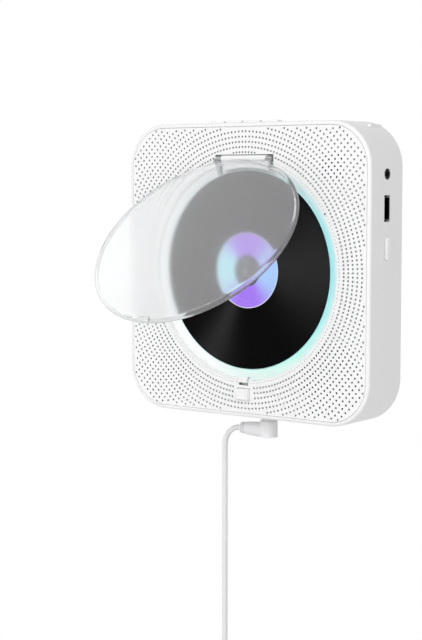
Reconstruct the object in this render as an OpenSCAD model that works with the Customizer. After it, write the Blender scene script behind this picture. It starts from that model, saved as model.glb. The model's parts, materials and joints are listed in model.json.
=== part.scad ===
// Wall mounted disc player. The wall is the plane y = 0, the front looks along -Y and +Z is up.
// Each sub-part is drawn as seen from the front: x right, y up, z out of the wall.

/* [Case] */
// Outside width and height of the square case
body_w = 178; // [176:1:186]
// Outside radius of the case's four corners
body_r = 27; // [24:1:30]
// Distance from the wall to the front face
front_z = 36; // [36:0.5:40]
// Gap between the wall and the back of the case
wall_gap = 1; // [0.8:0.1:1.5]
// Wall thickness of the side frame
wall_t = 2.4; // [2:0.1:2.6]
// Radius of the rounded front edge of the side frame
edge_r = 1.6; // [0.8:0.1:1.8]
// Thickness of the back cover
cover_t = 2; // [1.6:0.1:2.4]
// Running gap between neighbouring fixed pieces
gap = 0.2; // [0.1:0.05:0.3]

/* [Front panel] */
// Thickness of the perforated skin
skin_t = 1; // [0.8:0.1:1.2]
// Thickness of the panel behind the skin
panel_t = 1.8; // [1.6:0.1:2.2]
// Number of perforations in each ring
holes_per_ring = 200; // [40:20:240]
// Distance from the well's flange to the first ring of perforations
ring_out = 2.8; // [2.6:0.1:5.6]
// Distance from one ring of perforations to the next
ring_pitch = 3.1; // [2.8:0.1:4]
// Radius of one perforation
hole_r = 0.6; // [0.4:0.05:0.7]
// Radius of the speaker windows
speaker_r = 22.5; // [20:0.5:23]
// Distance from the side wall's inside to the middle of a speaker
speaker_side = 25.1; // [24.6:0.5:26.6]
// Distance from the bottom wall's inside to the middle of a speaker
speaker_foot = 23.6; // [22.6:0.5:24.6]
// Side of the square remote control window
ir_w = 14.6; // [12:0.2:16]
// Distance from both walls' insides to the middle of that window
ir_in = 24.1; // [22.6:0.5:26.6]

/* [Disc and well] */
// Radius of the disc
disc_r = 60; // [59:0.5:60.5]
// Radius of the disc's hole
disc_hole_r = 7.5; // [7.4:0.1:7.8]
// Thickness of the disc
disc_t = 1.2; // [1.1:0.1:1.3]
// Depth of the disc's front below the front face
disc_depth = 3.3; // [3:0.1:3.6]
// Clear gap round the disc
disc_gap = 1.4; // [1:0.1:1.5]
// Gap between the disc and the floor of the well
floor_gap = 2.3; // [2:0.1:2.6]
// Thickness of the well's floor
floor_t = 1.4; // [1.2:0.1:1.6]

/* [Lid] */
// Radius of the clear lid
lid_r = 65; // [65:0.1:65.2]
// Height of the lid's face in front of the case
lid_proud = 2.4; // [2.2:0.1:3]
// How far the lid's rim reaches into its recess
lid_sunk = 1.1; // [1:0.1:1.2]
// Wall thickness of the lid
lid_t = 1.6; // [1.4:0.1:1.8]
// Distance of the hinge pin outside the lid's rim
hinge_out = 2.4; // [2.4:0.1:2.6]
// Depth of the hinge pin below the front face
hinge_depth = 0.7; // [0.6:0.1:0.9]
// Radius of the hinge pin
hinge_pin_r = 1; // [0.8:0.1:1.1]
// Angle by which the lid stands open
lid_open = 46; // [0:1:60]

/* [Controls] */
// Width of the release button
button_w = 9; // [7:0.2:9.6]
// Height of the release button
button_h = 7.2; // [5:0.2:7.4]
// Distance from the lid's rim to the middle of the release button
button_out = 10; // [9.8:0.1:10.4]
// How far the release button stands out
button_proud = 2.2; // [1.8:0.1:2.6]
// Travel of the release button
button_travel = 1.6; // [1.4:0.1:1.6]
// Distance from one key to the next
key_pitch = 13.5; // [13:0.1:14]
// Length of one key
key_w = 11.5; // [10:0.1:12]
// Width of one key
key_d = 5; // [4:0.1:6]
// How far the keys stand out
key_proud = 1.7; // [1:0.1:2]
// Travel of the keys
key_travel = 0.6; // [0.4:0.1:0.7]
// Depth of keys and sockets below the front face
side_depth = 18; // [17.5:0.1:18.5]

/* [Sockets] */
// Bore radius of the headphone socket
jack_bore_r = 1.8; // [1.78:0.01:1.85]
// Depth of the headphone socket
jack_deep = 14; // [13:0.5:15]
// Height of the headphone socket above the middle
jack_y = 58; // [56:0.5:60]
// Height of the memory stick socket above the middle
usb_y = 38.2; // [36:0.2:40]
// Height of the power switch above the middle
switch_y = 15; // [13:0.5:16]
// Travel of the power switch
switch_travel = 3; // [2:0.5:3]
// Sideways place of the power inlet on the bottom edge
inlet_x = 6.2; // [4:0.2:10]

/* [Wall bracket] */
// Width of the wall bracket
bracket_w = 96; // [90:1:100]
// Height of the wall bracket
bracket_h = 60; // [56:1:62]
// Thickness of the wall bracket
bracket_t = 2; // [1.6:0.1:2]
// Distance between its screw holes, sideways
bracket_sx = 76; // [70:1:80]
// Distance between its screw holes, upwards
bracket_sy = 40; // [36:1:44]
// Radius of its screw holes
bracket_hole_r = 2.1; // [2:0.05:2.3]
// Lift that takes the player off its hooks
unhook_lift = 7; // [7:0.1:7.4]

/* [Disc drive] */
// Distance of the laser lens from the middle when it is parked
lens_park = 24; // [23.5:0.5:24.5]
// Travel of the laser sled
sled_travel = 34; // [30:0.5:34]
// Module of the rack and its pinion
rack_m = 0.6; // [0.58:0.01:0.62]
// Teeth of the rack pinion
rack_teeth = 12; // [12:1:13]
// Module of the motor pinion and its wheel
gear_m = 0.4; // [0.38:0.01:0.41]
// Teeth of the gear wheel
wheel_teeth = 40; // [38:1:41]
// Teeth of the motor pinion
pinion_teeth = 10; // [10:1:12]

/* [Power cord] */
// Diameter of the cord
cord_d = 3.5; // [3:0.1:3.6]
// Turns in the stored coil
coil_turns = 6; // [6:2:6]
// Distance from one turn to the next
coil_step = 4; // [3.9:0.05:4.2]
// Middle radius of the coil
coil_r = 21; // [21:0.5:23]

/* [Hidden] */
$fn = 64;

// Case levels, measured out of the wall
inner_w = body_w - 2 * wall_t;
inner_r = body_r - wall_t;
half_in = inner_w / 2;
panel_w = inner_w - 2 * gap;
panel_r = inner_r - gap;
skin_z = front_z - skin_t;
panel_z = skin_z - panel_t;
ledge_t = 1.6;
ledge_w = 3;
cover_z = wall_gap + cover_t;
side_z = front_z - side_depth;

// Well, disc and light ring
disc_z = front_z - disc_depth - disc_t;
floor_z = disc_z - floor_gap;
floor_back = floor_z - floor_t;
well_r = disc_r + disc_gap;
lid_gap = 0.6;
seat_gap = 0.3;
seat_w = 1.2;
seat_z = front_z - lid_sunk - seat_gap;
recess_r = lid_r + lid_gap;
ring_r = recess_r + 0.9;
opening_r = ring_r + 0.1;
flange_r = ring_r + 1.9;
flange_t = 1.2;
ring_land_z = front_z - 0.3;
slope_z = disc_z + 1.1;
led_t = 1;
led_h = 0.4;
led_count = 12;
ring_back_z = floor_z + led_t + led_h + 0.2;
ring_first_r = flange_r + ring_out;
smooth_r = flange_r + 2.2;
floor_r = flange_r + 1.6;

// Screws: radius of the shank, its hole, its pilot bore and the posts that take it
screw_r = 1.2;
screw_hole_r = 1.4;
pilot_r = 1.25;
head_r = 2.4;
head_t = 1.6;
post_r = 2.8;
lug_r = 4;
lug_t = 1.8;
lug_z = floor_z - lug_t;
post_at = half_in - 6.1;
panel_posts = [[50, post_at], [-50, post_at], [post_at, -12], [-post_at, -12], [38, -post_at],
  [-38, -post_at]];
ear_r = flange_r + 4.6;
ear_angles = [25, 150, 192, 345];
boss_r = 3.2;
boss_h = 12;
boss_at = half_in - 4.4;
corner_at = half_in - 12.1;
boss_points = [[corner_at, corner_at], [-corner_at, corner_at], [boss_at, -30], [-boss_at, -30],
  [30, -boss_at], [-30, -boss_at]];
rear_head_t = 1.1;
small_screw_r = 1;
small_pilot_r = 1.05;
small_head_r = 1.9;

// Hinge bay, block and lugs
hinge_y = lid_r + hinge_out;
hinge_z = front_z - hinge_depth;
barrel_r = hinge_pin_r + 1;
barrel_w = 33.2;
lug_x = barrel_w / 2 + 0.3;
lug_w = 3.5;
bay_w = 2 * (lug_x + lug_w + 1.1);
bay_low = well_r - 6.4;
bay_top = hinge_y + barrel_r + 0.4;
run_gap = 0.06;
shoulder_r = 2.8;
eye_angle = 31;
eye_r = 0.5;
eye_at = flange_r - 0.7;

// Latch behind the release button
latch_w = 6.4;
latch_bite = 0.9;
latch_y = lid_r + 0.4;
latch_head_h = 2.4;
latch_ratio = 0.8;
latch_travel = latch_ratio * button_travel;
latch_t = 1.6;
latch_slot_low = -latch_y - latch_head_h - latch_travel - 0.52;
latch_z = panel_z - gap - latch_t;
window_low = front_z - lid_sunk + 0.8;
window_h = 1.7;
window_w = 7.2;
nose_z = window_low + gap;
nose_h = 1.3;
button_y = lid_r + button_out;
button_top = -button_y + button_h / 2;
button_low = -button_y - button_h / 2;
wedge_z = latch_z - latch_t;
wedge_h = panel_z - gap - wedge_z;
rail_x = button_w / 2 + 0.4;
rail_w = 2.6;
slot_top = button_top + latch_travel + gap;
slider_low = button_low - latch_ratio * wedge_h - gap - 1.9;
latch_post_r = 1.9;
latch_post_x = rail_x + rail_w + 0.1 + latch_post_r;
latch_post_top = -button_y + 1.5;
latch_post_low = -button_y - 6.5;
latch_posts = [[-latch_post_x, latch_post_top], [latch_post_x, latch_post_top],
  [-latch_post_x, latch_post_low], [latch_post_x, latch_post_low]];
button_back_z = wedge_z - 0.4;
latch_cover_t = 1.4;
latch_cover_z = side_z + 6.4;
spring_r = 2.4;

// Speakers and remote control window
speaker_x = half_in - speaker_side;
speaker_y = half_in - speaker_foot;
speaker_rim = 1.6;
ir_c = half_in - ir_in;
speaker_flange_r = speaker_r + 1.7;
speaker_flange_t = 1.4;
basket_r = 18.9;
basket_back_z = 22;
magnet_r = 14;

// Keys, boards and sockets
key_x = -12.5;
board_t = 1.6;
main_board_z = 8.4;
side_board_z = side_z - 5;
side_board_top = side_board_z + board_t;
board_post_r = 2.5;
board_left = -38;
board_right = 52;
board_low = -76;
board_high = 20;
board_posts = [[board_left + 4, board_low + 6], [board_right - 12, board_low + 6],
  [board_left + 4, board_high - 5], [board_right - 4, board_high - 5]];
side_board_w = 19.7;
side_board_left = half_in - 0.4 - side_board_w;
side_posts = [[side_board_left + 4, switch_y + 9], [side_board_left + 4, jack_y - 8]];
key_flange_t = 1.2;
key_flange_y = half_in - gap - key_flange_t;
key_switch_y = key_flange_y - key_travel - 0.1;
key_board_y = half_in - 5.3;
key_board_t = 1.4;
key_post_x = 32;
knob_z = side_z + 1;
knob_h = 12.8;
stem_h = 6;
stem_t = 3;
jack_barrel_r = 3.1;
usb_w = 13.1;
usb_h = 5.7;
usb_wall = 0.4;
inlet_bore_r = 2.9;
inlet_deep = 11;

// Wall bracket with its two hooks, and the pocket that takes it
hook_x = 24;
hook_w = 10;
hook_low = 12;
hook_neck = 3;
hook_lip = 6;
hook_lip_t = 1.6;
pocket_z = bracket_t + 0.3;
pocket_t = 1.8;
pocket_gap = 1;
hook_z = pocket_z + pocket_t + 0.3;

// Disc drive
deck_z = floor_back - 4.4;
deck_t = 1.2;
deck_top = deck_z + deck_t;
deck_left = -74;
deck_right = 22;
deck_half = 31;
rod_r = 1.5;
rod_y = 17;
rod_z = deck_z - 2.1;
rod_left = -72.4;
rod_right = -10.4;
window_half = 20.2;
window_left = -69;
window_right = -13;
damper_points = [[-68.5, 25.5], [-68.5, -25.5], [16, 25.5], [16, -25.5]];
damper_r = 4.5;
damper_waist_r = 2.95;
damper_post_r = 2;
damper_h = 4.4;
damper_z = deck_z + deck_t / 2 - damper_h / 2;
motor_r = 12.2;
motor_h = 10.4;
shaft_r = 1;
hub_r = disc_hole_r - 0.15;
hub_ball_r = 1.2;
hub_ball_z = disc_z + disc_t + 0.9;
turntable_r = 14.5;
sled_w = 17;
sled_half = 13.5;
sled_top = deck_top + 1.4;
focus_travel = 0.4;
lens_half = 5;
lens_z = sled_top + focus_travel + 0.2;
rack_z = deck_top + 0.3;
rack_t = 1.6;
rack_pitch = PI * rack_m;
rack_line = -22.6;
gear_x = -26;
gear_y = rack_line - rack_m * rack_teeth / 2;
wheel_z = rack_z + rack_t + 0.2;
wheel_t = 0.9;
stud_r = 1.2;
mesh_angle = -53.13;
mesh_r = gear_m * (wheel_teeth + pinion_teeth) / 2;
sled_motor_at = [gear_x + mesh_r * cos(mesh_angle), gear_y + mesh_r * sin(mesh_angle)];
sled_motor_r = 7.7;
sled_motor_h = 9;

// Power plug and cord. The cord's points lie in the plane of the plug.
plug_tip_r = 2.75;
plug_tip_long = 10;
plug_collar_r = 4.5;
plug_r = 5.5;
plug_top = -body_w / 2 - 3.9;
plug_long = 9.9;
arm_y = plug_top - 6;
arm_left = inlet_x - 15.7;
relief_w = 4.9;
coil_at = [-0.4, -272];
coil_wide = 27;
layer_gap = coil_step;
coil_end = coil_at[1] - cord_d;
cord_points = [[-14.4, -98.9], [-16, -98.9], [-20.2, -99.8], [-24, -102.4], [-26.5, -106.3],
  [-27.4, -110.9], [-27.4, -119], [-27.4, -128], [-27.4, -137], [-27.4, -146], [-27.4, -155],
  [-27.4, -164], [-27.4, -173], [-27.4, -182], [-27.4, -191], [-27.4, -200], [-27.4, -209],
  [-27.4, -218], [-27.4, -227], [-27.4, -236], [-27.4, -245], [-27.4, -254], [-27.4, -262],
  [-27.4, -268.5]];
tail_points = [[-27.4, -275.5], [-27.4, -282], [-27.4, -288]];
coil_steps = 24 * coil_turns;
grip_long = 22;
grip_w = 16;
grip_t = 8;
shell_long = 12;

// Colours
white = [0.93, 0.93, 0.92];
grille_grey = [0.84, 0.85, 0.87];
inside_grey = [0.35, 0.36, 0.38];
metal = [0.72, 0.73, 0.75];
board_green = [0.12, 0.35, 0.22];
black = [0.08, 0.08, 0.09];
clear = [0.85, 0.92, 0.97, 0.35];
ring_cyan = [0.35, 0.78, 0.85];
cord_white = [0.88, 0.89, 0.9];

// Shared shapes
module front() {
  rotate([90, 0, 0]) children();
}

module slab(z, t) {
  translate([0, 0, z]) linear_extrude(t) children();
}

module rounded(w, h, r) {
  square([w - 2 * r, h], center = true);
  square([w, h - 2 * r], center = true);
  for (x = [-1, 1], y = [-1, 1]) translate([x * (w / 2 - r), y * (h / 2 - r)]) circle(r);
}

module area(x0, x1, y0, y1) {
  translate([x0, y0]) square([x1 - x0, y1 - y0]);
}

module box(x0, x1, y0, y1, z0, z1) {
  translate([x0, y0, z0]) cube([x1 - x0, y1 - y0, z1 - z0]);
}

module rod(at, z, h, r) {
  translate([at[0], at[1], z]) cylinder(h = h, r = r);
}

module rod_x(x, y, z, long, r) {
  translate([x, y, z]) rotate([0, 90, 0]) cylinder(h = long, r = r);
}

module rod_y(x, y, z, long, r) {
  translate([x, y, z]) rotate([-90, 0, 0]) cylinder(h = long, r = r);
}

module screw(at, z, long, r, hr, ht) {
  rod(at, z, ht, hr);
  rod(at, z + ht, long, r);
}

module spin(z = 0) {
  translate([0, 0, z]) rotate_extrude() children();
}

module bay_area(w) {
  area(-w / 2, w / 2, bay_low, bay_top);
}

module latch_slot_area() {
  area(-latch_w / 2 - 0.3, latch_w / 2 + 0.3, latch_slot_low, -lid_r + 0.6);
}

module button_area(g) {
  area(-button_w / 2 - g, button_w / 2 + g, button_low - g, button_top + g);
}

function ear(i) = ear_r * [cos(ear_angles[i]), sin(ear_angles[i])];
function toward_wall(p) = abs(p[0]) > abs(p[1]) ? [sign(p[0]), 0] : [0, sign(p[1])];
function gear_points(m, n, share) = let (
    rp = m * n / 2, root = rp - 1.1 * m, tip = rp + 0.8 * m, step = 360 / n,
    foot = share * step * 0.62, top = share * step * 0.3)
  [for (i = [0:n - 1], q = [[root, -foot], [tip, -top], [tip, top], [root, foot]])
    q[0] * [cos(i * step + q[1]), sin(i * step + q[1])]];

// Side frame: a square tube with a rounded front edge
module wall_profile() {
  area(inner_r, body_r - edge_r, wall_gap, front_z);
  area(inner_r, body_r, wall_gap, front_z - edge_r);
  intersection() {
    translate([body_r - edge_r, front_z - edge_r]) circle(edge_r);
    area(body_r - edge_r, body_r, front_z - edge_r, front_z);
  }
}

module wall_ring() {
  straight = body_w / 2 - body_r;
  for (a = [0:90:270]) rotate(a) {
    translate([straight, straight, 0]) rotate([90, 0, 0])
      linear_extrude(2 * straight) wall_profile();
    translate([straight, straight, 0]) rotate_extrude(angle = 90) wall_profile();
  }
}

module side_frame() color(white) front() difference() {
  union() {
    wall_ring();
    difference() {
      slab(panel_z - ledge_t, ledge_t) difference() {
        rounded(inner_w + 1, inner_w + 1, inner_r + 0.5);
        rounded(inner_w - 2 * ledge_w, inner_w - 2 * ledge_w, inner_r - ledge_w);
      }
      for (s = [-1, 1]) rod([s * speaker_x, -speaker_y], panel_z - 3, 4, speaker_flange_r + 0.3);
      box(-rail_x - rail_w - 0.6, rail_x + rail_w + 0.6, -half_in, -half_in + 6, panel_z - 3, panel_z + 1);
    }
    for (p = panel_posts) slab(lug_z, lug_t) {
      translate(p) circle(lug_r);
      wall_tab(p, lug_r);
    }
    for (p = boss_points) {
      rod(p, cover_z, boss_h, boss_r);
      slab(cover_z, boss_h) wall_tab(p, 1);
    }
    for (s = [-1, 1])
      rod_y(key_x + s * key_post_x, key_board_y, side_z, half_in - key_board_y + 0.4, 2.2);
  }
  for (p = panel_posts) rod(p, lug_z - 1, lug_t + 2, screw_hole_r);
  for (p = boss_points) rod(p, cover_z - 1, boss_h, pilot_r);
  for (s = [-1, 1]) rod_y(key_x + s * key_post_x, key_board_y - 1, side_z, 5.6, small_pilot_r);
  for (i = [0:3]) translate([key_x + (i - 1.5) * key_pitch, 0, side_z])
    box(-key_w / 2 - gap, key_w / 2 + gap, half_in - 1, body_w / 2 + 1, -key_d / 2 - gap, key_d / 2 + gap);
  rod_x(half_in - 1, jack_y, side_z, wall_t + 2, jack_barrel_r + gap);
  box(half_in - 1, body_w / 2 + 1, usb_y - usb_w / 2 - 1.1, usb_y + usb_w / 2 + 1.1,
    side_z - usb_h / 2 - 0.3, side_z + usb_h / 2 + 0.3);
  box(half_in - 1, body_w / 2 + 1, switch_y - stem_h / 2 - switch_travel - gap,
    switch_y + stem_h / 2 + gap, knob_z - stem_t / 2 - gap, knob_z + stem_t / 2 + gap);
  rod_y(inlet_x, -body_w / 2 - 1, side_z, wall_t + 2, plug_tip_r + 0.4);
}

module wall_tab(p, half) {
  d = toward_wall(p);
  end = half_in + 0.3;
  if (d[0] != 0) area(min(p[0], d[0] * end), max(p[0], d[0] * end), p[1] - half, p[1] + half);
  else area(p[0] - half, p[0] + half, min(p[1], d[1] * end), max(p[1], d[1] * end));
}

// Front: the panel, and the perforated skin that is bonded to it
module speaker_window() {
  intersection() {
    circle(speaker_r);
    translate([-speaker_x, speaker_y])
      rounded(panel_w - 2 * speaker_rim, panel_w - 2 * speaker_rim, panel_r - speaker_rim);
  }
}

module front_panel() color(white) front() difference() {
  union() {
    slab(panel_z, panel_t) difference() {
      rounded(panel_w, panel_w, panel_r);
      circle(opening_r);
      bay_area(bay_w);
      latch_slot_area();
      button_area(gap);
      translate([ir_c, ir_c]) square(ir_w, center = true);
      rotate(eye_angle) translate([eye_at, 0]) circle(eye_r + 0.1);
      difference() {
        for (s = [-1, 1]) mirror([s < 0 ? 1 : 0, 0]) translate([speaker_x, -speaker_y]) speaker_window();
        circle(smooth_r);
      }
    }
    for (p = panel_posts) rod(p, floor_z, panel_z - floor_z + 0.2, post_r);
    for (i = [0:3]) rod(ear(i), floor_z, panel_z - floor_z + 0.2, post_r);
    for (p = latch_posts)
      rod(p, latch_cover_z + latch_cover_t, panel_z - latch_cover_z - latch_cover_t + 0.2, latch_post_r);
  }
  for (p = panel_posts) rod(p, floor_z - 1, panel_z - floor_z + 2, pilot_r);
  for (i = [0:3]) rod(ear(i), floor_z - 1, panel_z - floor_z + 2, pilot_r);
  for (p = latch_posts) rod(p, latch_cover_z, panel_z - latch_cover_z - 1, small_pilot_r);
}

function in_rounded(x, y, w, r) =
  let (a = max(0, abs(x) - (w / 2 - r)), b = max(0, abs(y) - (w / 2 - r)))
  abs(x) < w / 2 && abs(y) < w / 2 && a * a + b * b < r * r;
function in_speaker(x, y) =
  norm([abs(x) - speaker_x, y + speaker_y]) < speaker_r - hole_r - 0.3
  && in_rounded(x, y, panel_w - 2 * speaker_rim - 2 * hole_r, panel_r - 2);
function in_ir(x, y) = max(abs(x - ir_c), abs(y - ir_c)) < ir_w / 2 - hole_r - 0.1;

module grille_skin() color(grille_grey) front() slab(skin_z, skin_t) difference() {
  rounded(panel_w, panel_w, panel_r);
  circle(opening_r);
  bay_area(bay_w);
  latch_slot_area();
  button_area(gap);
  rotate(eye_angle) translate([eye_at, 0]) circle(eye_r + 0.1);
  for (i = [0:17], j = [0:holes_per_ring - 1])
    let (r = ring_first_r + i * ring_pitch, a = (j + 0.5) * 360 / holes_per_ring, x = r * cos(a), y = r * sin(a))
      if (in_speaker(x, y) || in_ir(x, y)) translate([x, y]) circle(hole_r);
}

// Light ring round the well
module light_ring() color(ring_cyan) front() difference() {
  spin() polygon([[well_r, ring_back_z], [well_r, slope_z], [recess_r - seat_w, seat_z],
    [recess_r, seat_z], [recess_r, ring_land_z], [ring_r, ring_land_z], [ring_r, panel_z],
    [flange_r, panel_z], [flange_r, panel_z - flange_t], [ring_r, panel_z - flange_t],
    [ring_r, ring_back_z]]);
  slab(ring_back_z - 1, 9) bay_area(bay_w);
  slab(latch_z - gap, 9) latch_slot_area();
  rotate(eye_angle) rod([eye_at, 0], panel_z - flange_t - 1, 4, eye_r + 0.1);
}

module led_board() color(white) front() {
  slab(floor_z, led_t) difference() {
    circle(ring_r - 0.1);
    circle(well_r + 0.5);
    bay_area(bay_w);
  }
  for (i = [0:led_count - 1]) rotate(122 + i * 296 / (led_count - 1))
    box(well_r + 2, well_r + 3.6, -1.5, 1.5, floor_z + led_t + 0.02, floor_z + led_t + led_h);
}

// Tray under the disc
module disc_tray() color(white) front() difference() {
  union() {
    slab(floor_back, floor_t) difference() {
      union() {
        circle(floor_r);
        for (i = [0:3]) translate(ear(i)) circle(lug_r);
        for (p = damper_points) translate(p) circle(5);
      }
      for (s = [-1, 1]) translate([s * speaker_x, -speaker_y]) circle(basket_r + 0.4);
      area(-lens_park - sled_travel - 6, 19, -15.5, 15.5);
      circle(19);
    }
    slab(floor_z - 0.2, panel_z - flange_t - floor_z + 0.2) difference() {
      circle(flange_r);
      circle(ring_r + 0.4);
    }
    for (p = damper_points) {
      rod(p, damper_z, floor_back - damper_z + 0.2, damper_post_r);
      rod(p, damper_z + damper_h, floor_back - damper_z - damper_h + 0.2, 3.4);
    }
  }
  slab(latch_z - gap, 3) latch_slot_area();
  for (i = [0:3]) rod(ear(i), floor_back - 1, floor_t + 2, screw_hole_r);
  for (p = damper_points) rod(p, damper_z - 1, damper_h + 2.4, small_pilot_r);
}

module tray_screws() color(metal) front()
  for (i = [0:3]) screw(ear(i), floor_back - head_t, 5.4, screw_r, head_r, head_t);

module panel_screws() color(metal) front()
  for (p = panel_posts) screw(p, lug_z - head_t, 5.6, screw_r, head_r, head_t);

// Back cover with the pocket for the wall bracket
module pocket_area(g) {
  area(-bracket_w / 2 - pocket_gap - g, bracket_w / 2 + pocket_gap + g,
    -bracket_h / 2 - unhook_lift - pocket_gap - g, bracket_h / 2 + pocket_gap + g);
}

module rear_cover() color(white) front() difference() {
  union() {
    slab(wall_gap, cover_t) rounded(panel_w, panel_w, panel_r);
    slab(wall_gap, pocket_z + pocket_t - wall_gap) pocket_area(1.6);
    for (p = board_posts) rod(p, cover_z - 0.2, main_board_z - cover_z + 0.2, board_post_r);
    for (p = side_posts) rod(p, cover_z - 0.2, side_board_z - cover_z + 0.2, board_post_r);
  }
  slab(wall_gap - 1, pocket_z - wall_gap + 1) pocket_area(0);
  for (s = [-1, 1]) translate([s * hook_x, 0, 0])
    box(-hook_w / 2 - 0.5, hook_w / 2 + 0.5, hook_low - unhook_lift - 1, hook_low + hook_neck + 0.05,
      pocket_z - 1, pocket_z + pocket_t + 1);
  for (p = boss_points) {
    rod(p, wall_gap - 1, cover_t + 2, screw_hole_r);
    rod(p, wall_gap - 1, rear_head_t + 1.1, head_r + 0.3);
  }
  for (p = board_posts) rod(p, cover_z + 1.2, 9, small_pilot_r);
  for (p = side_posts) rod(p, cover_z + 1.2, 12, small_pilot_r);
  for (s = [-1, 1], i = [0:5]) translate([s * (half_in - 20.6), 6 * i - 28, 0])
    box(-9, 9, -1, 1, wall_gap - 1, cover_z + 1);
}

module rear_screws() color(metal) front()
  for (p = boss_points) screw(p, wall_gap, 9, screw_r, head_r, rear_head_t);

module wall_pads() color(inside_grey) front() {
  pad_at = half_in - 24.6;
  for (x = [-pad_at, pad_at], y = [-pad_at, pad_at]) rod([x, y], 0.05, wall_gap - 0.05, 6);
}

module wall_bracket() color(metal) front() difference() {
  union() {
    slab(0, bracket_t) rounded(bracket_w, bracket_h, 5);
    for (s = [-1, 1]) translate([s * hook_x, 0, 0]) {
      box(-hook_w / 2, hook_w / 2, hook_low, hook_low + hook_neck, bracket_t - 0.5, hook_z + hook_lip_t);
      box(-hook_w / 2, hook_w / 2, hook_low, hook_low + hook_neck + hook_lip, hook_z, hook_z + hook_lip_t);
    }
  }
  for (x = [-1, 1], y = [-1, 1])
    rod([x * bracket_sx / 2, y * bracket_sy / 2], -1, bracket_t + 2, bracket_hole_r);
}

// Hinge
module hinge_block() color(white) front() difference() {
  union() {
    slab(floor_z, 3) intersection() {
      circle(ring_r + 0.2);
      area(-barrel_w / 2, barrel_w / 2, bay_low, flange_r);
    }
    box(-barrel_w / 2, barrel_w / 2, bay_low, bay_top - 0.6, floor_z + 3, hinge_z - barrel_r + 1.2);
    box(-barrel_w / 2, barrel_w / 2, hinge_y - 1.4, hinge_y + 1.4, hinge_z - barrel_r, hinge_z);
    rod_x(-barrel_w / 2, hinge_y, hinge_z, barrel_w, barrel_r);
  }
  rod([0, 0], floor_z - 1, 10, well_r + 0.2);
  rod_x(-barrel_w / 2 - 1, hinge_y, hinge_z, barrel_w + 2, hinge_pin_r);
}

module hinge_pin() color(metal) front()
  rod_x(-lug_x - lug_w - 0.6, hinge_y, hinge_z, 2 * (lug_x + lug_w + 0.6), hinge_pin_r);

module at_lid_angle(a) {
  translate([0, hinge_y, hinge_z]) rotate([-a, 0, 0]) translate([0, -hinge_y, -hinge_z]) children();
}

module lid() color(clear) front() at_lid_angle(lid_open) difference() {
  face = front_z + lid_proud;
  rim = front_z - lid_sunk;
  union() {
    spin() difference() {
      union() {
        area(0, lid_r - shoulder_r, rim, face);
        area(0, lid_r, rim, face - shoulder_r);
        intersection() {
          translate([lid_r - shoulder_r, face - shoulder_r]) circle(shoulder_r);
          area(lid_r - shoulder_r, lid_r, face - shoulder_r, face);
        }
      }
      area(-1, lid_r - 2.2, rim - 1, face - lid_t);
      area(-lid_r, 0, 0, 2 * face);
    }
    for (s = [-1, 1]) translate([s * (lug_x + lug_w / 2), 0, 0]) {
      box(-lug_w / 2, lug_w / 2, lid_r - 4.2, hinge_y, hinge_z - 0.2, hinge_z + barrel_r);
      rod_x(-lug_w / 2, hinge_y, hinge_z, lug_w, barrel_r);
    }
  }
  rod_x(-lug_x - lug_w - 1, hinge_y, hinge_z, 2 * (lug_x + lug_w + 1), hinge_pin_r + run_gap);
  box(-window_w / 2, window_w / 2, -lid_r - 1, -lid_r + 2.8, window_low, window_low + window_h);
}

// Latch: pressing the button moves the slider away from the lid
module latch_slider() color(white) front() {
  difference() {
    union() {
      slab(latch_z, latch_t) {
        area(-latch_w / 2, latch_w / 2, slot_top - 1, -latch_y);
        area(-rail_x - rail_w, rail_x + rail_w, slider_low, -flange_r - 0.3);
      }
      box(-latch_w / 2, latch_w / 2, -latch_y - latch_head_h, -latch_y, latch_z, nose_z + nose_h);
      box(-rail_x - rail_w, rail_x + rail_w, slider_low, button_low - gap, wedge_z, latch_z + 0.1);
    }
    box(-rail_x, rail_x, button_low - gap, slot_top, wedge_z - 1, panel_z);
    wedge(rail_x, -gap, 0);
  }
  translate([-latch_w / 2, 0, 0]) rotate([90, 0, 90]) linear_extrude(latch_w)
    polygon([[-latch_y, nose_z], [-lid_r + latch_bite, nose_z], [-lid_r + latch_bite, nose_z + 0.6],
      [-latch_y, nose_z + nose_h]]);
}

module wedge(half, shift, inside) {
  translate([-half, shift, 0]) rotate([90, 0, 90]) linear_extrude(2 * half)
    polygon([[button_low + 1, wedge_z - inside], [button_low, wedge_z - inside], [button_low, wedge_z],
      [button_low - latch_ratio * wedge_h, wedge_z + wedge_h], [button_low + 1, wedge_z + wedge_h]]);
}

module release_button() color(white) front() {
  slab(button_back_z, front_z + button_proud - button_back_z - 0.6) button_area(0);
  slab(front_z + button_proud - 0.7, 0.7) button_area(-0.4);
  wedge(button_w / 2, 0, 0);
}

module release_spring() color(metal) front() difference() {
  rod([0, -button_y], latch_cover_z + latch_cover_t, button_back_z - latch_cover_z - latch_cover_t, spring_r);
  rod([0, -button_y], latch_cover_z, 9, spring_r - 0.5);
}

module latch_cover() color(inside_grey) front() difference() {
  union() {
    slab(latch_cover_z, latch_cover_t)
      area(-latch_post_x - 2.4, latch_post_x + 2.4, latch_post_low - 2.7, latch_post_top + 2.7);
    for (s = [-1, 1]) translate([s * (rail_x + rail_w / 2), 0, 0])
      box(-0.7, 0.7, latch_post_low + 4, latch_post_top + 2.5, latch_cover_z + 1, latch_z - 0.1);
    rod([0, -button_y], latch_cover_z + 1, 1.6, spring_r - 0.7);
  }
  for (p = latch_posts) rod(p, latch_cover_z - 1, latch_cover_t + 2, small_screw_r + 0.2);
}

module sensor_eye() color(black) front() rotate(eye_angle)
  rod([eye_at, 0], panel_z - flange_t, front_z + 0.1 - panel_z + flange_t, eye_r);

// Remote control window and its receiver
module ir_window() color(black) front() {
  slab(panel_z, panel_t - 0.1) translate([ir_c, ir_c]) square(ir_w - 2 * gap, center = true);
  slab(panel_z - 1.2, 1.2) translate([ir_c, ir_c]) square(ir_w + 2.4, center = true);
}

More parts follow.
